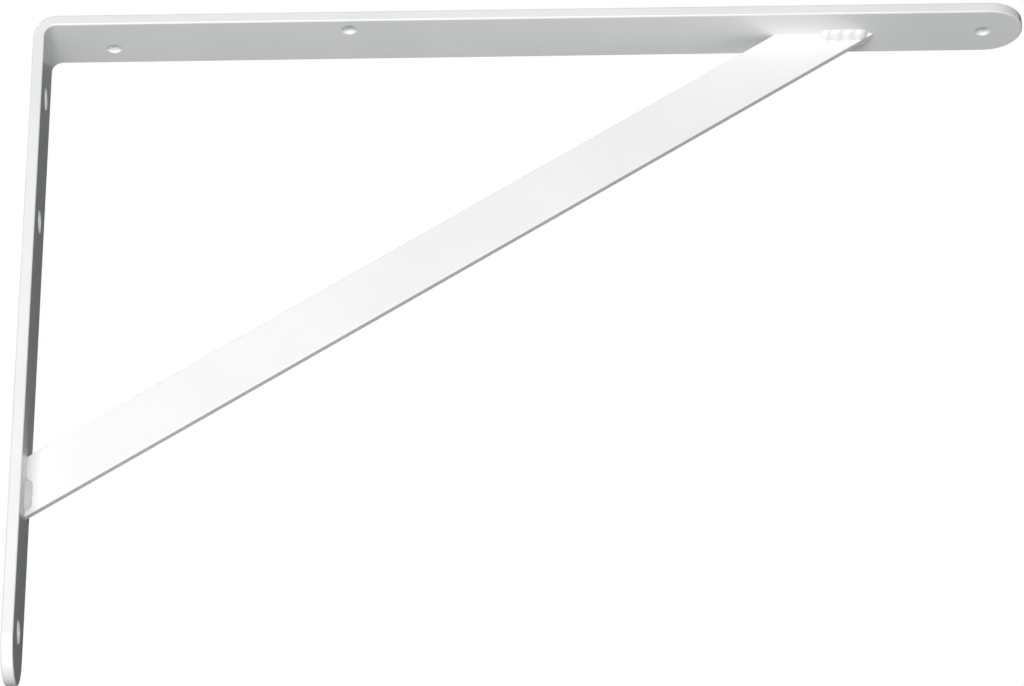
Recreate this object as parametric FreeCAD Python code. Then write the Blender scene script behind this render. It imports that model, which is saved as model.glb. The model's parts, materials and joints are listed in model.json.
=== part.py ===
import FreeCAD, Part
import math
import os

# Gallows shelf bracket: one flat steel bar bent to a right angle, with a long arm
# under the shelf, a shorter leg on the wall, and a flat bar on edge welded across
# the corner as a diagonal brace.
#
# All lengths are in millimetres. X runs from the wall along the arm, Y runs across
# the bar and Z points up. The origin is the centre of the top wall hole, on the wall.
# The two planes that the lengths are taken from are the wall plane, against the back
# of the leg, and the shelf plane, on top of the arm.

# Bar that makes the arm and the leg
BAR_WIDTH = 25.0
BAR_THICKNESS = 4.0
ARM_LENGTH = 350.0
LEG_LENGTH = 250.0
BEND_INNER_RADIUS = 4.0
BAR_EDGE_RADIUS = 0.6

# Screw holes for the shelf: two have a distance from the wall plane and a distance to
# the side of the centre line, staggered so that the screws don't share one grain line,
# and the last is set in from the arm's tip
SHELF_HOLE_DIAMETER = 5.0
SHELF_HOLE_SPOTS = ((27.0, 3.5), (111.0, -6.5))
SHELF_TIP_HOLE_INSET = 14.0

# Screw holes for the wall, all on the centre line: two have a distance below the shelf
# plane, and the last is set in from the leg's tip
WALL_HOLE_DIAMETER = 8.0
WALL_HOLE_DROPS = (27.0, 77.0)
WALL_TIP_HOLE_INSET = 18.0

# The holes were punched from the side that faces the room, which rounds their mouths
HOLE_MOUTH_RADIUS = 0.4

# Diagonal brace: its reach is taken to its lower edge, where that meets the bar
BRACE_WIDTH = 19.0
BRACE_THICKNESS = 3.0
BRACE_ARM_REACH = 297.0
BRACE_LEG_REACH = 190.0
BRACE_FRONT_OFFSET = 0.5
BRACE_EDGE_RADIUS = 0.5

# Weld beads, one on each side of each end of the brace
WELD_LEG = 3.0
WELD_CROWN = 0.6
ARM_WELD_LENGTH = 17.0
LEG_WELD_LENGTH = 12.0

# How far each bead starts from the brace's lower edge, measured on the bar
WELD_TIP_GAP = 2.0

# Edges that turn by less than this angle are smooth and are not rounded
SMOOTH_EDGE_ANGLE = math.radians(10.0)

# Two places closer than this are the same
SAME_PLACE = 1e-6

# Sizes that follow from the ones above
HALF_WIDTH = BAR_WIDTH / 2
BEND_OUTER_RADIUS = BEND_INNER_RADIUS + BAR_THICKNESS
SHELF_PLANE_Z = WALL_HOLE_DROPS[0]
ARM_UNDERSIDE_Z = SHELF_PLANE_Z - BAR_THICKNESS
BEND_CENTRE = FreeCAD.Vector(BEND_OUTER_RADIUS, 0, SHELF_PLANE_Z - BEND_OUTER_RADIUS)
BRACE_LOWER_Z = SHELF_PLANE_Z - BRACE_LEG_REACH
BRACE_ANGLE = math.atan2(ARM_UNDERSIDE_Z - BRACE_LOWER_Z, BRACE_ARM_REACH - BAR_THICKNESS)
BRACE_UPPER_Z = BRACE_LOWER_Z + BRACE_WIDTH / math.cos(BRACE_ANGLE)
BRACE_UPPER_X = BRACE_ARM_REACH - BRACE_WIDTH / math.sin(BRACE_ANGLE)
BRACE_BACK_OFFSET = BRACE_FRONT_OFFSET + BRACE_THICKNESS

X_AXIS = FreeCAD.Vector(1, 0, 0)
Y_AXIS = FreeCAD.Vector(0, 1, 0)
Z_AXIS = FreeCAD.Vector(0, 0, 1)


def point(x, y, z):
    """A point of the bracket."""
    return FreeCAD.Vector(x, y, z)


def line(start, end):
    """A straight edge between two points."""
    return Part.LineSegment(start, end).toShape()


def arc(start, middle, end):
    """A circular edge through three points."""
    return Part.Arc(start, middle, end).toShape()


def strip_outline(start, along, length):
    """A flat strip's outline: a square start and a half-round tip, length away."""
    half = Y_AXIS * HALF_WIDTH
    tip = start + along * length
    shoulder = tip - along * HALF_WIDTH
    edges = [
        line(start - half, shoulder - half),
        arc(shoulder - half, tip, shoulder + half),
        line(shoulder + half, start + half),
        line(start + half, start - half),
    ]
    return Part.Face(Part.Wire(edges))


def arm_plate():
    """The straight part of the arm, from the end of the bend to its round tip."""
    start = point(BEND_OUTER_RADIUS, 0, ARM_UNDERSIDE_Z)
    outline = strip_outline(start, X_AXIS, ARM_LENGTH - BEND_OUTER_RADIUS)
    return outline.extrude(Z_AXIS * BAR_THICKNESS)


def leg_plate():
    """The straight part of the leg, from the end of the bend to its round tip."""
    start = point(0, 0, BEND_CENTRE.z)
    outline = strip_outline(start, -Z_AXIS, LEG_LENGTH - BEND_OUTER_RADIUS)
    return outline.extrude(X_AXIS * BAR_THICKNESS)


def bend():
    """The quarter turn between arm and leg: the bar's section turned about Y."""
    section = Part.makePolygon([
        point(0, -HALF_WIDTH, BEND_CENTRE.z),
        point(BAR_THICKNESS, -HALF_WIDTH, BEND_CENTRE.z),
        point(BAR_THICKNESS, HALF_WIDTH, BEND_CENTRE.z),
        point(0, HALF_WIDTH, BEND_CENTRE.z),
        point(0, -HALF_WIDTH, BEND_CENTRE.z),
    ])
    return Part.Face(section).revolve(BEND_CENTRE, Y_AXIS, 90)


def is_sharp(solid, edge):
    """Tells whether the two faces that share an edge turn a corner there."""
    faces = solid.ancestorsOfType(edge, Part.Face)
    if len(faces) != 2:
        return False
    middle = edge.valueAt((edge.FirstParameter + edge.LastParameter) / 2)
    normals = [face.normalAt(*face.Surface.parameter(middle)) for face in faces]
    return normals[0].getAngle(normals[1]) > SMOOTH_EDGE_ANGLE


def punch(centre, axis, diameter):
    """A round punch for one screw hole, long enough to pass right through the bar."""
    start = centre - axis * BAR_THICKNESS
    return Part.makeCylinder(diameter / 2, 3 * BAR_THICKNESS, start, axis)


def shelf_hole_spots():
    """Where the arm's holes are: from the wall plane, and to the side."""
    return SHELF_HOLE_SPOTS + ((ARM_LENGTH - SHELF_TIP_HOLE_INSET, 0.0),)


def wall_hole_drops():
    """How far the leg's holes are below the shelf plane."""
    return WALL_HOLE_DROPS + (LEG_LENGTH - WALL_TIP_HOLE_INSET,)


def is_hole_mouth(edge):
    """Tells whether an edge is the round mouth of a hole, on the side facing the room."""
    if not isinstance(edge.Curve, Part.Circle) or not edge.isClosed():
        return False
    centre = edge.Curve.Center
    on_leg = abs(centre.x - BAR_THICKNESS) < SAME_PLACE
    under_arm = abs(centre.z - ARM_UNDERSIDE_Z) < SAME_PLACE
    return on_leg or under_arm


def angle_bar():
    """The bent bar, with rounded edges and its screw holes."""
    bar = arm_plate().fuse([bend(), leg_plate()]).removeSplitter()
    bar = bar.makeFillet(BAR_EDGE_RADIUS, [edge for edge in bar.Edges if is_sharp(bar, edge)])
    punches = [
        punch(point(x, y, ARM_UNDERSIDE_Z), Z_AXIS, SHELF_HOLE_DIAMETER)
        for x, y in shelf_hole_spots()
    ]
    punches += [
        punch(point(0, 0, SHELF_PLANE_Z - drop), X_AXIS, WALL_HOLE_DIAMETER)
        for drop in wall_hole_drops()
    ]
    bar = bar.cut(punches)
    return bar.makeFillet(HOLE_MOUTH_RADIUS, [edge for edge in bar.Edges if is_hole_mouth(edge)])


def brace():
    """The diagonal flat bar on edge, cut at both ends to sit flat on arm and leg."""
    corners = [
        point(BAR_THICKNESS, BRACE_FRONT_OFFSET, BRACE_LOWER_Z),
        point(BRACE_ARM_REACH, BRACE_FRONT_OFFSET, ARM_UNDERSIDE_Z),
        point(BRACE_UPPER_X, BRACE_FRONT_OFFSET, ARM_UNDERSIDE_Z),
        point(BAR_THICKNESS, BRACE_FRONT_OFFSET, BRACE_UPPER_Z),
    ]
    side = Part.Face(Part.makePolygon(corners + corners[:1]))
    bar = side.extrude(Y_AXIS * BRACE_THICKNESS)
    slope = (corners[1] - corners[0]).normalize()
    long_edges = [edge for edge in bar.Edges if runs_along(edge, slope)]
    return bar.makeFillet(BRACE_EDGE_RADIUS, long_edges)


def runs_along(edge, direction):
    """Tells whether a straight edge is parallel to a direction."""
    span = edge.valueAt(edge.LastParameter) - edge.valueAt(edge.FirstParameter)
    return span.cross(direction).Length < SAME_PLACE * span.Length


def weld_bead(start, end, out_of_bar, out_of_brace):
    """A fillet bead in the corner between bar and brace.

    It is a round-ended rod whose centre line lies behind the corner, cut back to the
    open quarter between the two faces, so its face bulges a little past flat.
    """
    along = (end - start).normalize()
    half_chord = WELD_LEG / math.sqrt(2)
    radius = (half_chord ** 2 + WELD_CROWN ** 2) / (2 * WELD_CROWN)
    setback = (radius - WELD_CROWN - half_chord) / math.sqrt(2)
    end_run = math.sqrt(radius ** 2 - 2 * setback ** 2)
    centre_shift = (out_of_bar + out_of_brace) * -setback
    rod_start = start + along * end_run + centre_shift
    rod_end = end - along * end_run + centre_shift
    rod = Part.makeCylinder(radius, (rod_end - rod_start).Length, rod_start, along)
    rod = rod.fuse([Part.makeSphere(radius, rod_start), Part.makeSphere(radius, rod_end)])
    room = 2 * WELD_LEG
    corner = Part.makePolygon([
        start,
        start + out_of_bar * room,
        start + (out_of_bar + out_of_brace) * room,
        start + out_of_brace * room,
        start,
    ])
    quarter = Part.Face(corner).extrude(along * (end - start).Length)
    return rod.common(quarter).removeSplitter()


def arm_weld(face_offset, out_of_brace):
    """The bead under the arm, along the outer part of one side of the brace's end."""
    end = point(BRACE_ARM_REACH - WELD_TIP_GAP, face_offset, ARM_UNDERSIDE_Z)
    return weld_bead(end - X_AXIS * ARM_WELD_LENGTH, end, -Z_AXIS, out_of_brace)


def leg_weld(face_offset, out_of_brace):
    """The bead on the leg, up one side of the brace's end."""
    start = point(BAR_THICKNESS, face_offset, BRACE_LOWER_Z + WELD_TIP_GAP)
    return weld_bead(start, start + Z_AXIS * LEG_WELD_LENGTH, X_AXIS, out_of_brace)


def sub_parts():
    """Every piece of the bracket by name."""
    return {
        "angle_bar": angle_bar(),
        "diagonal_brace": brace(),
        "arm_weld_front": arm_weld(BRACE_FRONT_OFFSET, -Y_AXIS),
        "arm_weld_back": arm_weld(BRACE_BACK_OFFSET, Y_AXIS),
        "leg_weld_front": leg_weld(BRACE_FRONT_OFFSET, -Y_AXIS),
        "leg_weld_back": leg_weld(BRACE_BACK_OFFSET, Y_AXIS),
    }


os.makedirs("parts", exist_ok=True)
for name, shape in sub_parts().items():
    solid = shape.Solids[0]
    solid.exportStep(f"parts/{name}.step")
    print(name, "volume", round(solid.Volume, 1), "solids", len(shape.Solids), "valid", solid.isValid())
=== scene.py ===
"""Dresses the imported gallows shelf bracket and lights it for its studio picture.

The bracket is a flat steel bar bent to a right angle, with a diagonal flat brace on
edge welded across the corner, all of it under one white powder coat. The bent bar and
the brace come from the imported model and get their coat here. The weld beads are made
new, with the ripples that a welder's steps leave.

Lengths in the classes are in millimetres where their names say so. Everything that
goes into Blender is in metres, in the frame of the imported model: X out from the wall
along the arm, Y across the bar, Z up, and the origin at the top wall hole.
"""

import json
import logging
import math
from collections.abc import Mapping
from dataclasses import dataclass
from enum import Enum

import bpy
import numpy as np
from mathutils import Matrix, Vector

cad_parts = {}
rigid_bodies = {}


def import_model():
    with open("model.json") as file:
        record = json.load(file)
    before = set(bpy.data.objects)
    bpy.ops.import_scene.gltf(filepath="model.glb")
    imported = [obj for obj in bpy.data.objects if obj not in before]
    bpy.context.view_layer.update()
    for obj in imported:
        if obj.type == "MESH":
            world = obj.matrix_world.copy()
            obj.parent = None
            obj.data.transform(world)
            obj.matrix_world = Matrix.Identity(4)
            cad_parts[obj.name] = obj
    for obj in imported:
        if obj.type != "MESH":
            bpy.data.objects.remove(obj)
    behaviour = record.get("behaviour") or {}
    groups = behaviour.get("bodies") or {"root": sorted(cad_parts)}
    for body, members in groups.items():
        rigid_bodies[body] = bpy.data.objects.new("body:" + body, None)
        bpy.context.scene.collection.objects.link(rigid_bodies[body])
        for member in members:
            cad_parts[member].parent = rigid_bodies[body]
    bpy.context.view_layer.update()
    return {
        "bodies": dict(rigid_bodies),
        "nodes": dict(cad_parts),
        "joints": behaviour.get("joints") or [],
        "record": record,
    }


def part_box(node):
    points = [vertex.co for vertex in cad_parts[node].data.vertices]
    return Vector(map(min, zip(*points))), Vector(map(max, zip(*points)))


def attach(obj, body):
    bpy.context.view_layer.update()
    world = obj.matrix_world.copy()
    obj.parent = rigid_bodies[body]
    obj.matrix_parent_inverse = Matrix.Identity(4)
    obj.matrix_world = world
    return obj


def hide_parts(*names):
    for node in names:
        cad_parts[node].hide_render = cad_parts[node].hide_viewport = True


LOG = logging.getLogger("shelf_bracket")

# A millimetre in metres
MM = 0.001

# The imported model's only body
BODY = "root"

# The width of the photograph, and of the sensor that the camera's lens is worked out for
PHOTO_WIDTH_PX = 1024
SENSOR_WIDTH_MM = 36.0

# Mix node sockets that go by number, because the node has several of the same name
MIX_SHARE = 0
MIX_FIRST_COLOUR = 6
MIX_SECOND_COLOUR = 7
MIX_COLOUR_RESULT = 2

# The lowest and highest value that a noise texture mostly keeps to, in the powder
# coat's mottle and in its haze
MOTTLE_SPAN = (0.35, 0.65)
HAZE_SPAN = (0.3, 0.7)

# How many finer layers of noise lie over the coarsest one in the powder coat's mottle,
# in its haze and in its bumps
MOTTLE_DETAIL = 3.0
HAZE_DETAIL = 2.0
BUMP_DETAIL = 1.0


def linear_colour(hex_colour: str) -> tuple[float, float, float, float]:
    """Turns an sRGB colour into the linear one that the shaders take.

    A channel c up to 0.04045 becomes c / 12.92, and a higher one becomes
    ((c + 0.055) / 1.055) to the power of 2.4.

    Args:
        hex_colour: the colour as six hex digits after a hash sign.

    Returns:
        Red, green, blue and an alpha of 1.
    """
    channels = np.array([int(hex_colour[i : i + 2], 16) for i in (1, 3, 5)]) / 255
    low = channels / 12.92
    high = ((channels + 0.055) / 1.055) ** 2.4
    return (*np.where(channels <= 0.04045, low, high).tolist(), 1.0)


def add_node(
    tree: bpy.types.NodeTree,
    kind: str,
    settings: Mapping[str, object] | None = None,
    inputs: Mapping[str | int, object] | None = None,
) -> bpy.types.Node:
    """Adds a node with its settings, socket values and links.

    Args:
        tree: the node tree that gets the node.
        kind: the node's type name.
        settings: the node's own properties by name.
        inputs: input sockets by name or index, each with a value or with the output
            socket that is linked to it.

    Returns:
        The new node.
    """
    node = tree.nodes.new(kind)
    for name, value in (settings or {}).items():
        setattr(node, name, value)
    for socket, value in (inputs or {}).items():
        if isinstance(value, bpy.types.NodeSocket):
            tree.links.new(value, node.inputs[socket])
        else:
            node.inputs[socket].default_value = value
    return node


def new_material(name: str) -> bpy.types.Material:
    """Makes a material with an empty node tree.

    Args:
        name: the material's name.

    Returns:
        The material.
    """
    material = bpy.data.materials.new(name)
    material.use_nodes = True
    material.node_tree.nodes.clear()
    return material


def seen_directly(tree: bpy.types.NodeTree) -> bpy.types.NodeSocket:
    """Adds a test for what the camera sees, straight or in a reflection.

    Args:
        tree: the node tree that gets the test.

    Returns:
        A socket that is 1 for camera, glossy and transmission rays, and 0 for the
        rays that light the bracket.
    """
    path = add_node(tree, "ShaderNodeLightPath")
    seen = path.outputs["Is Camera Ray"]
    for ray in ("Is Glossy Ray", "Is Transmission Ray"):
        either = add_node(
            tree,
            "ShaderNodeMath",
            settings={"operation": "MAXIMUM"},
            inputs={0: seen, 1: path.outputs[ray]},
        )
        seen = either.outputs["Value"]
    return seen


def per_metre(size_mm: float) -> float:
    """The scale of a noise texture whose patches are about size_mm across."""
    return 1 / (size_mm * MM)


@dataclass(frozen=True)
class PowderCoat:
    """White polyester powder, sprayed on dry and baked to a hard semi-gloss film.

    What it gives the eye: an even white with soft highlights and blurry reflections,
    broken up by the shallow dimples known as orange peel, and a very slight mottle
    where the film is thicker or thinner.

    Attributes:
        name: the finish, in plain words.
        full_hex: the colour where the film is thick.
        thin_hex: the colour where it is thin and the steel dulls it.
        mottle_mm: the size of the patches of thick and thin film.
        roughness: the roughness in the smoothest and the dullest spots.
        haze_mm: the size of those spots.
        peel_mm: the distance between two dimples of the orange peel.
        peel_depth_mm: how deep the dimples are.
        grain_mm: the distance between the finest bumps in the film.
        grain_depth_mm: how high those bumps are.
        ior: the refractive index of the baked polyester.
    """

    name: str
    full_hex: str = "#EFF0EF"
    thin_hex: str = "#EAECEB"
    mottle_mm: float = 38.0
    roughness: tuple[float, float] = (0.33, 0.4)
    haze_mm: float = 4.0
    peel_mm: float = 1.9
    peel_depth_mm: float = 0.008
    grain_mm: float = 0.5
    grain_depth_mm: float = 0.0015
    ior: float = 1.5

    def material(self) -> bpy.types.Material:
        """Builds the coat's shader.

        Returns:
            The material.
        """
        material = new_material(self.name)
        tree = material.node_tree
        place = add_node(tree, "ShaderNodeTexCoord").outputs["Object"]
        mottle = add_node(
            tree,
            "ShaderNodeTexNoise",
            inputs={"Vector": place, "Scale": per_metre(self.mottle_mm), "Detail": MOTTLE_DETAIL},
        )
        thinness = add_node(
            tree,
            "ShaderNodeMapRange",
            inputs={
                "Value": mottle.outputs["Fac"],
                "From Min": MOTTLE_SPAN[0],
                "From Max": MOTTLE_SPAN[1],
            },
        )
        colour = add_node(
            tree,
            "ShaderNodeMix",
            settings={"data_type": "RGBA"},
            inputs={
                MIX_SHARE: thinness.outputs["Result"],
                MIX_FIRST_COLOUR: linear_colour(self.full_hex),
                MIX_SECOND_COLOUR: linear_colour(self.thin_hex),
            },
        )
        haze = add_node(
            tree,
            "ShaderNodeTexNoise",
            inputs={"Vector": place, "Scale": per_metre(self.haze_mm), "Detail": HAZE_DETAIL},
        )
        dullness = add_node(
            tree,
            "ShaderNodeMapRange",
            inputs={
                "Value": haze.outputs["Fac"],
                "From Min": HAZE_SPAN[0],
                "From Max": HAZE_SPAN[1],
                "To Min": self.roughness[0],
                "To Max": self.roughness[1],
            },
        )
        film = add_node(
            tree,
            "ShaderNodeBsdfPrincipled",
            inputs={
                "Base Color": colour.outputs[MIX_COLOUR_RESULT],
                "Roughness": dullness.outputs["Result"],
                "IOR": self.ior,
                "Normal": self.dimpled(tree, place),
            },
        )
        add_node(tree, "ShaderNodeOutputMaterial", inputs={"Surface": film.outputs["BSDF"]})
        return material

    def dimpled(
        self, tree: bpy.types.NodeTree, place: bpy.types.NodeSocket
    ) -> bpy.types.NodeSocket:
        """Adds the orange peel, and the grain over it.

        Args:
            tree: the coat's node tree.
            place: the socket with the place on the piece.

        Returns:
            The socket with the film's normal.
        """
        layers = ((self.peel_mm, self.peel_depth_mm), (self.grain_mm, self.grain_depth_mm))
        below: dict[str, bpy.types.NodeSocket] = {}
        for size_mm, depth_mm in layers:
            bumps = add_node(
                tree,
                "ShaderNodeTexNoise",
                inputs={"Vector": place, "Scale": per_metre(size_mm), "Detail": BUMP_DETAIL},
            )
            layer = add_node(
                tree,
                "ShaderNodeBump",
                inputs={
                    "Height": bumps.outputs["Fac"],
                    "Strength": 1.0,
                    "Distance": depth_mm * MM,
                    **below,
                },
            )
            below = {"Normal": layer.outputs["Normal"]}
        return below["Normal"]


@dataclass(frozen=True)
class StudioPaint:
    """Matt paint on the studio's floor and on its dark screen.

    What it gives the eye: a plain even tone with no shine.

    Attributes:
        name: the paint, in plain words.
        hex_colour: its colour.
        glow: how much of its colour it adds where the camera or a reflection sees it,
            so that it looks evenly lit and throws no light on the bracket.
        roughness: how matt it is.
        specular: how much it mirrors, where 0.5 is the shader's usual amount.
    """

    name: str
    hex_colour: str
    glow: float
    roughness: float = 0.9
    specular: float = 0.1

    def material(self) -> bpy.types.Material:
        """Builds the paint's shader.

        Returns:
            The material.
        """
        material = new_material(self.name)
        tree = material.node_tree
        paint = add_node(
            tree,
            "ShaderNodeBsdfPrincipled",
            inputs={
                "Base Color": linear_colour(self.hex_colour),
                "Roughness": self.roughness,
                "Specular IOR Level": self.specular,
            },
        )
        glow = add_node(
            tree,
            "ShaderNodeEmission",
            inputs={"Color": linear_colour(self.hex_colour), "Strength": self.glow},
        )
        glowing = add_node(
            tree,
            "ShaderNodeAddShader",
            inputs={0: paint.outputs["BSDF"], 1: glow.outputs["Emission"]},
        )
        surface = add_node(
            tree,
            "ShaderNodeMixShader",
            inputs={
                0: seen_directly(tree),
                1: paint.outputs["BSDF"],
                2: glowing.outputs["Shader"],
            },
        )
        add_node(tree, "ShaderNodeOutputMaterial", inputs={"Surface": surface.outputs["Shader"]})
        # The glow is only looked at, so it isn't sampled as a lamp
        material.cycles.emission_sampling = "NONE"
        return material


def put_in_mesh(name: str, points: np.ndarray, faces: list[list[int]]) -> bpy.types.Object:
    """Makes a smooth-shaded object whose place is in its mesh.

    Args:
        name: the piece's name.
        points: its points in metres, one row each.
        faces: each face as the numbers of its points.

    Returns:
        The new object, at the origin.
    """
    mesh = bpy.data.meshes.new(name)
    mesh.from_pydata(points.tolist(), [], faces)
    mesh.polygons.foreach_set("use_smooth", np.ones(len(mesh.polygons), dtype=bool))
    mesh.update()
    piece = bpy.data.objects.new(name, mesh)
    bpy.context.scene.collection.objects.link(piece)
    return piece


def closed_skin(rings: np.ndarray) -> tuple[np.ndarray, list[list[int]]]:
    """Joins closed rings of points into a skin with a point at each end.

    The skin's points are all of the rings' points, ring after ring, and then the
    centres of the first and of the last ring, which close the two ends. Where the
    skin's volume, the sum over its triangles of a . (b x c) / 6, comes out negative,
    it is inside out and every face is turned round.

    Args:
        rings: an array of rings by points by three coordinates.

    Returns:
        The points and the faces.
    """
    count, around = rings.shape[:2]
    points = np.vstack([rings.reshape(-1, 3), rings[0].mean(axis=0), rings[-1].mean(axis=0)])
    step = np.arange(around)
    after = (step + 1) % around
    rows = np.arange(count - 1)[:, None] * around
    corners = (rows + step, rows + after, rows + around + after, rows + around + step)
    quads = np.stack(corners, axis=-1).reshape(-1, 4)
    first, last = count * around, count * around + 1
    last_row = (count - 1) * around
    start_cap = np.stack([np.full(around, first), after, step], axis=-1)
    end_cap = np.stack([np.full(around, last), last_row + step, last_row + after], axis=-1)
    halves = (quads[:, [0, 1, 2]], quads[:, [0, 2, 3]], start_cap, end_cap)
    triangles = points[np.vstack(halves)]
    turned = np.cross(triangles[:, 1], triangles[:, 2])
    volume = np.einsum("ij,ij->i", triangles[:, 0], turned).sum() / 6
    faces = quads.tolist() + start_cap.tolist() + end_cap.tolist()
    if volume < 0:
        faces = [face[::-1] for face in faces]
    return points, faces


def welder_steps(along_mm: np.ndarray, spacing_mm: float) -> np.ndarray:
    """Works out a welder's steps: |sin(pi u / spacing)| at each place u.

    Their tops are round and their valleys are sharp, as where one puddle of weld froze
    over the edge of the last.

    Args:
        along_mm: places along the bead.
        spacing_mm: the distance between two steps.

    Returns:
        The height of the steps at each place, from 0 to 1.
    """
    return np.abs(np.sin(math.pi * along_mm / spacing_mm))


class Side(Enum):
    """The two faces of the brace, by the way that each looks along Y."""

    FRONT = -1
    BACK = 1


class BraceEnd(Enum):
    """The two ends of the brace, by the part of the bar that each is welded to."""

    ARM = "arm"
    LEG = "leg"


@dataclass
class WeldBead:
    """One bead of weld in the corner between the bar and a face of the brace.

    Attributes:
        end: which end of the brace it holds.
        side: which face of the brace it lies on.
        seed: sets how its reach wanders.
        reach_mm: how far it reaches out over the bar and over the brace.
        crown_mm: how far its face bulges past flat between two puddles.
        puddle_mm: the distance from one frozen puddle of weld to the next.
        puddle_height_mm: how high the puddles stand.
        waist: the share of its reach that it loses between two puddles.
        ripple_mm: the distance between two of the fine ripples on the puddles.
        ripple_height_mm: how high those ripples stand.
        bow_mm: how far the ripples and puddles bow forward in the middle.
        waver_mm: how much its reach wanders along its length.
        waver_run_mm: the shortest and the longest wave of that wander.
        waver_waves: how many waves the wander is made of.
        end_run_mm: the length over which each end rounds off.
        end_gap: the share of its length that stays free at each end.
        sunk_mm: how far its hidden back lies inside the steel.
        stations: the number of rings along it.
        crowding: how much the rings crowd towards the ends, from 0 to 1.
        across: the number of points across its open face.
    """

    end: BraceEnd
    side: Side
    seed: int
    reach_mm: float = 2.84
    crown_mm: float = 0.14
    puddle_mm: float = 4.3
    puddle_height_mm: float = 0.38
    waist: float = 0.09
    ripple_mm: float = 1.05
    ripple_height_mm: float = 0.05
    bow_mm: float = 0.9
    waver_mm: float = 0.1
    waver_run_mm: tuple[float, float] = (4.0, 11.0)
    waver_waves: int = 3
    end_run_mm: float = 3.4
    end_gap: float = 0.0005
    sunk_mm: float = 0.15
    stations: int = 260
    crowding: float = 0.35
    across: int = 24

    @property
    def node(self) -> str:
        """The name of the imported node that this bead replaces."""
        return f"{self.end.value}_weld_{self.side.name.lower()}"

    def directions(self) -> np.ndarray:
        """Finds how the bead lies.

        Returns:
            Three unit vectors as rows: along the bead, out of the bar's face, and out
            of the brace's face.
        """
        out_of_brace = [0.0, float(self.side.value), 0.0]
        if self.end is BraceEnd.ARM:
            return np.array([[1.0, 0.0, 0.0], [0.0, 0.0, -1.0], out_of_brace])
        return np.array([[0.0, 0.0, 1.0], [1.0, 0.0, 0.0], out_of_brace])

    def reach(self, along_mm: np.ndarray, length_mm: float) -> np.ndarray:
        """Works out how far the bead reaches at each place along it.

        The reach is that of the bead's middle plus a slow wander, the mean of a few
        sine waves with seeded lengths and starts. It is drawn in by the waist between
        the puddles, and times sqrt(1 - (1 - e)^2), where e goes from 0 at an end to 1
        at the end run.

        Args:
            along_mm: places along the bead.
            length_mm: the bead's length.

        Returns:
            The reach in millimetres at each place.
        """
        chance = np.random.default_rng(self.seed)
        waves = chance.uniform(*self.waver_run_mm, self.waver_waves)
        starts = chance.uniform(0.0, 2 * math.pi, self.waver_waves)
        wander = np.sin(2 * math.pi * along_mm[:, None] / waves + starts).mean(axis=1)
        to_end = np.minimum(along_mm, length_mm - along_mm) / self.end_run_mm
        rounding = np.sqrt(1 - (1 - np.clip(to_end, 0.0, 1.0)) ** 2)
        drawn_in = 1 - self.waist * (1 - welder_steps(along_mm, self.puddle_mm))
        return (self.reach_mm + self.waver_mm * wander) * drawn_in * rounding

    def places(self, length_mm: float) -> np.ndarray:
        """Works out where the rings stand along the bead.

        It is a mix of even places and of (1 - cos t) / 2 with t from 0 to pi, which
        crowds towards the two ends, because the bead is rounded there.

        Args:
            length_mm: the bead's length.

        Returns:
            The places in millimetres.
        """
        gap = length_mm * self.end_gap
        even = np.linspace(gap, length_mm - gap, self.stations)
        turn = np.linspace(0.0, math.pi, self.stations)
        crowded = gap + (length_mm - 2 * gap) * (1 - np.cos(turn)) / 2
        return self.crowding * crowded + (1 - self.crowding) * even

    def rings(self, corner_mm: np.ndarray, length_mm: float) -> np.ndarray:
        """Works out the bead's surface as rings round it.

        At a place u along the bead with reach s, the open face goes from the brace to
        the bar as v goes from 0 to 1: out of the bar it stands s (1 - v) + h, and out
        of the brace s v + h. The height h over the flat face is 4 v (1 - v) / sqrt(2)
        times the crown plus the puddles and the ripples, all shrunk with s. Puddles
        and ripples are steps at u + bow 4 v (1 - v), so they bow forward. The ring
        closes behind the open face, inside the steel.

        Args:
            corner_mm: where the bead starts, in the corner between the two faces.
            length_mm: its length.

        Returns:
            An array of rings by points by three coordinates, in millimetres.
        """
        along_mm = self.places(length_mm)
        reach = self.reach(along_mm, length_mm)[:, None]
        share = reach / self.reach_mm
        v = np.linspace(0.0, 1.0, self.across)[None, :]
        dome = 4 * v * (1 - v)
        bowed = along_mm[:, None] + self.bow_mm * dome
        puddle = self.puddle_height_mm * welder_steps(bowed, self.puddle_mm)
        ripple = self.ripple_height_mm * welder_steps(bowed, self.ripple_mm)
        height = dome * share * (self.crown_mm + puddle + ripple) / math.sqrt(2)
        out_of_bar = reach * (1 - v) + height
        out_of_brace = reach * v + height
        sunk = np.full_like(reach, -self.sunk_mm)
        out_of_bar = np.hstack([out_of_bar, sunk, sunk, reach])
        out_of_brace = np.hstack([out_of_brace, reach, sunk, sunk])
        run = np.broadcast_to(along_mm[:, None], out_of_bar.shape)
        return corner_mm + np.stack([run, out_of_bar, out_of_brace], axis=-1) @ self.directions()

    def build(self) -> bpy.types.Object:
        """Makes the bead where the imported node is.

        Returns:
            The bead's object.
        """
        low, high = (np.array(corner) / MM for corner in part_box(self.node))
        directions = self.directions()
        corner = np.where(directions.sum(axis=0) > 0, low, high)
        length = float((high - low) @ np.abs(directions[0]))
        points, faces = closed_skin(self.rings(corner, length) * MM)
        return put_in_mesh(f"rippled_{self.node}", points, faces)

    def dress(self, piece: bpy.types.Object, coat: bpy.types.Material) -> None:
        """Coats the bead, hangs it on the bracket's body and hides the node it replaces.

        Args:
            piece: the bead's object.
            coat: its powder coat.
        """
        piece.data.materials.append(coat)
        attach(piece, BODY)
        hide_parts(self.node)


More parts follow.
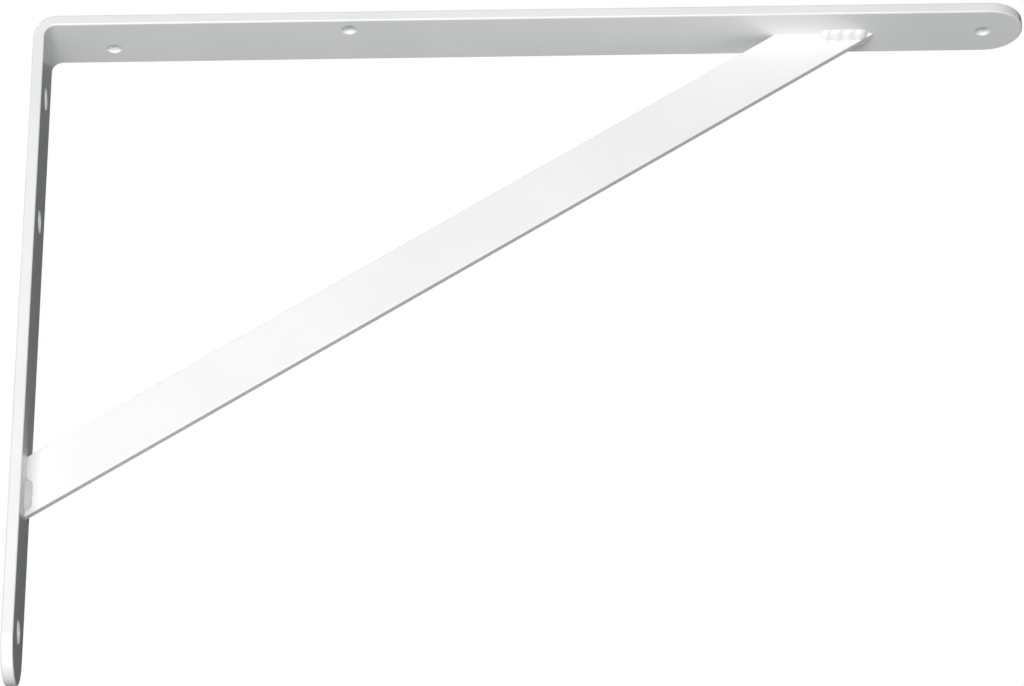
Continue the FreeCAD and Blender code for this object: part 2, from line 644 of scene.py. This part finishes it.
@dataclass(frozen=True)
class CoatedSteel:
    """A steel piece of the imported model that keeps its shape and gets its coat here.

    Attributes:
        node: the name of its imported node.
        coat: its finish.
    """

    node: str
    coat: PowderCoat

    def dress(self, frame: Mapping[str, dict]) -> bpy.types.Object:
        """Gives the piece its coat.


        Returns:
            The piece's object.
        """
        piece = frame["nodes"][self.node]
        coat = self.coat.material()
        for slot in piece.material_slots:
            slot.material = coat
        return piece


@dataclass
class Softbox:
    """A flat studio lamp behind a diffusing cloth.

    Attributes:
        name: the lamp's name.
        place: where it stands, in metres.
        aim: the point that it faces.
        sides: its width and its height, in metres.
        level: how bright it makes a white sheet at the aim that faces it, where 1 is
            as bright as the sheet's own colour.
        hex_colour: the colour of its light.
    """

    name: str
    place: tuple[float, float, float]
    aim: tuple[float, float, float]
    sides: tuple[float, float]
    level: float
    hex_colour: str = "#FFFFFF"

    def build(self) -> bpy.types.Object:
        """Makes the lamp.

        A flat lamp of P watts lights a sheet at distance d with P / (pi d^2), and a
        white sheet sends 1 / pi of that on, so the power is pi^2 d^2 times the level.

        Returns:
            The lamp's object.
        """
        to_lamp = Vector(self.place) - Vector(self.aim)
        lamp = bpy.data.lights.new(self.name, "AREA")
        lamp.shape = "RECTANGLE"
        lamp.size, lamp.size_y = self.sides
        lamp.energy = math.pi**2 * to_lamp.length_squared * self.level
        lamp.color = linear_colour(self.hex_colour)[:3]
        holder = bpy.data.objects.new(self.name, lamp)
        holder.location = self.place
        holder.rotation_mode = "QUATERNION"
        holder.rotation_quaternion = to_lamp.to_track_quat("Z", "Y")
        holder.visible_camera = False
        bpy.context.scene.collection.objects.link(holder)
        return holder


def flat_sheet(name: str, corners: np.ndarray, material: bpy.types.Material) -> bpy.types.Object:
    """Makes a flat four-cornered sheet for the studio.

    Args:
        name: the sheet's name.
        corners: its corners in metres, counter-clockwise as seen from its face.
        material: its paint.

    Returns:
        The sheet's object.
    """
    sheet = put_in_mesh(name, corners, [[0, 1, 2, 3]])
    sheet.data.materials.append(material)
    return sheet


@dataclass
class Studio:
    """The pale floor, the lamps, the white background and a dark screen.

    The lamps stand as the photograph's shading says. The main one is in front of the
    bracket's left half and a little lower, so that it only grazes the leg's inner face
    and leaves the upper part of the arm's holes dark, and it is much wider than high,
    so that the rounded edges along the arm shine little. A weak one below lights the
    arm's underside, and one behind and above lights the sides that the photograph
    doesn't show.

    Attributes:
        floor_z: the height of the floor, in metres.
        floor_side: the length of the floor's sides, in metres.
        floor_paint: the floor's paint.
        screen_y: how far behind the bracket the dark screen hangs, in metres.
        screen_low: its lower left corner in X and Z, in metres.
        screen_high: its upper right corner in X and Z, in metres.
        screen_paint: the screen's paint.
        background_hex: the colour that the camera sees behind everything.
        ambient: the strength of the light from all round.
        ambient_hex: its colour.
        softboxes: the lamps.
    """

    floor_z: float = -1.6
    floor_side: float = 120.0
    floor_paint: StudioPaint = StudioPaint("pale_floor_paint", "#C2C4C3", glow=0.8)
    screen_y: float = 1.2
    screen_low: tuple[float, float] = (-1.6, -1.5)
    screen_high: tuple[float, float] = (2.0, 2.2)
    screen_paint: StudioPaint = StudioPaint("dark_screen_paint", "#383A39", glow=1.0)
    background_hex: str = "#FFFFFF"
    ambient: float = 0.05
    ambient_hex: str = "#BCEAD6"
    softboxes: tuple[Softbox, ...] = (
        Softbox(
            "main_softbox",
            place=(0.02, -1.2, -0.36),
            aim=(0.12, 0.0, -0.08),
            sides=(0.95, 0.42),
            level=1.04,
            hex_colour="#FFFDFE",
        ),
        Softbox(
            "low_softbox",
            place=(-0.15, -0.35, -1.4),
            aim=(0.1, 0.0, -0.08),
            sides=(0.7, 0.7),
            level=0.18,
        ),
        Softbox(
            "rear_softbox",
            place=(-1.15, 1.45, 1.7),
            aim=(0.15, 0.0, -0.08),
            sides=(1.0, 1.0),
            level=1.3,
        ),
    )

    def build_floor(self) -> bpy.types.Object:
        """Lays the pale floor.

        Returns:
            The floor's object.
        """
        half = self.floor_side / 2
        spread = np.array([[-half, -half], [half, -half], [half, half], [-half, half]])
        corners = np.column_stack([spread, np.full(len(spread), self.floor_z)])
        return flat_sheet("studio_floor", corners, self.floor_paint.material())

    def build_screen(self) -> bpy.types.Object:
        """Hangs a dark screen behind the bracket that only its reflections show.

        In the photograph the leg and the rounded edges reflect something dark, where
        the picture itself is white.

        Returns:
            The screen's object.
        """
        (left, low), (right, high) = self.screen_low, self.screen_high
        across = np.array([left, right, right, left])
        upward = np.array([low, low, high, high])
        corners = np.column_stack([across, np.full(len(across), self.screen_y), upward])
        screen = flat_sheet("studio_screen", corners, self.screen_paint.material())
        screen.visible_camera = False
        screen.visible_diffuse = False
        screen.visible_transmission = False
        screen.visible_volume_scatter = False
        screen.visible_shadow = False
        return screen

    def build_background(self) -> bpy.types.World:
        """Makes the background white without lighting the bracket with it.

        Returns:
            The world.
        """
        world = bpy.data.worlds.new("studio_background")
        world.use_nodes = True
        tree = world.node_tree
        tree.nodes.clear()
        dim = add_node(
            tree,
            "ShaderNodeBackground",
            inputs={"Color": linear_colour(self.ambient_hex), "Strength": self.ambient},
        )
        white = add_node(
            tree,
            "ShaderNodeBackground",
            inputs={"Color": linear_colour(self.background_hex), "Strength": 1.0},
        )
        either = add_node(
            tree,
            "ShaderNodeMixShader",
            inputs={
                0: seen_directly(tree),
                1: dim.outputs["Background"],
                2: white.outputs["Background"],
            },
        )
        add_node(tree, "ShaderNodeOutputWorld", inputs={"Surface": either.outputs["Shader"]})
        bpy.context.scene.world = world
        return world


@dataclass
class PhotoCamera:
    """The camera, where the photograph's straight lines say that it stood.

    Attributes:
        name: the camera's name.
        place: where it stands, in metres.
        yaw_deg: how far it stands to the right of straight in front.
        pitch_deg: how far it stands above the bracket's level, so below is negative.
        roll_deg: how far it is turned about its own axis.
        focal_px: its focal length in pixels of the photograph.
    """

    name: str = "photo_camera"
    place: tuple[float, float, float] = (0.1588, -1.1147, -0.7059)
    yaw_deg: float = -0.40
    pitch_deg: float = -28.51
    roll_deg: float = -1.03
    focal_px: float = 3735.0

    def build(self) -> bpy.types.Object:
        """Makes the camera and makes it the scene's own.

        Its back points away from what it sees: at no yaw and no pitch along -Y, turned
        by the yaw about Z and lifted by the pitch. A level line to its right and the
        line upright to both are then turned about the back by the roll.

        Returns:
            The camera's object.
        """
        yaw = math.radians(self.yaw_deg)
        pitch = math.radians(self.pitch_deg)
        roll = math.radians(self.roll_deg)
        flat = math.cos(pitch)
        back = Vector((math.sin(yaw) * flat, -math.cos(yaw) * flat, math.sin(pitch)))
        level = Vector((math.cos(yaw), math.sin(yaw), 0.0))
        upright = back.cross(level)
        right = level * math.cos(roll) + upright * math.sin(roll)
        up = upright * math.cos(roll) - level * math.sin(roll)
        lens = bpy.data.cameras.new(self.name)
        lens.sensor_fit = "HORIZONTAL"
        lens.sensor_width = SENSOR_WIDTH_MM
        lens.lens = self.focal_px * SENSOR_WIDTH_MM / PHOTO_WIDTH_PX
        camera = bpy.data.objects.new(self.name, lens)
        turn = Matrix((right, up, back)).transposed().to_4x4()
        camera.matrix_world = Matrix.Translation(self.place) @ turn
        bpy.context.scene.collection.objects.link(camera)
        bpy.context.scene.camera = camera
        return camera


@dataclass
class ShelfBracket:
    """The whole bracket: bent bar, brace and weld beads.

    Attributes:
        bar: the bent bar, whose coat is smoother than the brace's.
        brace: the diagonal brace, whose coat is painted a little whiter than the bar's,
        as painted light for the brighter light that falls on its face.
        beads: the weld beads, one on each side of each end of the brace.
        bead_coat: the coat over the beads, which is the darkest.
    """

    bar: CoatedSteel = CoatedSteel(
        "angle_bar",
        PowderCoat("white_powder_coat_on_bar", roughness=(0.2, 0.25), peel_depth_mm=0.005),
    )
    brace: CoatedSteel = CoatedSteel(
        "diagonal_brace",
        # Painted light: the bar's coat, made whiter for the brighter light on the brace's face
        PowderCoat("white_powder_coat_on_brace", full_hex="#F4F5F4", thin_hex="#F0F1F0"),
    )
    beads: tuple[WeldBead, ...] = (
        WeldBead(BraceEnd.ARM, Side.FRONT, seed=3),
        WeldBead(BraceEnd.ARM, Side.BACK, seed=5),
        WeldBead(BraceEnd.LEG, Side.FRONT, reach_mm=2.3, puddle_height_mm=0.26, seed=7),
        WeldBead(BraceEnd.LEG, Side.BACK, reach_mm=2.3, puddle_height_mm=0.26, seed=11),
    )
    bead_coat: PowderCoat = PowderCoat(
        "white_powder_coat_on_weld", full_hex="#E9EBEA", thin_hex="#DFE2E1", mottle_mm=5.0
    )

    def build(self, frame: Mapping[str, dict]) -> None:
        """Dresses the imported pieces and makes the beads.
        """
        for steel in (self.bar, self.brace):
            piece = steel.dress(frame)
            LOG.info("%s keeps its shape and has %s", piece.name, steel.coat.name)
        coat = self.bead_coat.material()
        for bead in self.beads:
            piece = bead.build()
            bead.dress(piece, coat)
            LOG.info("%s has %d faces", piece.name, len(piece.data.polygons))


def main() -> None:
    """Builds the picture: the bracket, the studio and the camera."""
    logging.basicConfig(level=logging.INFO, format="%(message)s")
    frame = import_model()
    bpy.context.scene.view_settings.view_transform = "Standard"
    camera = PhotoCamera().build()
    LOG.info("%s set", camera.name)
    ShelfBracket().build(frame)
    studio = Studio()
    for sheet in (studio.build_floor(), studio.build_screen()):
        LOG.info("%s in place", sheet.name)
    world = studio.build_background()
    LOG.info("%s set", world.name)
    for softbox in studio.softboxes:
        softbox.build()
        LOG.info("%s at level %.2f", softbox.name, softbox.level)


if __name__ == "__main__":
    main()
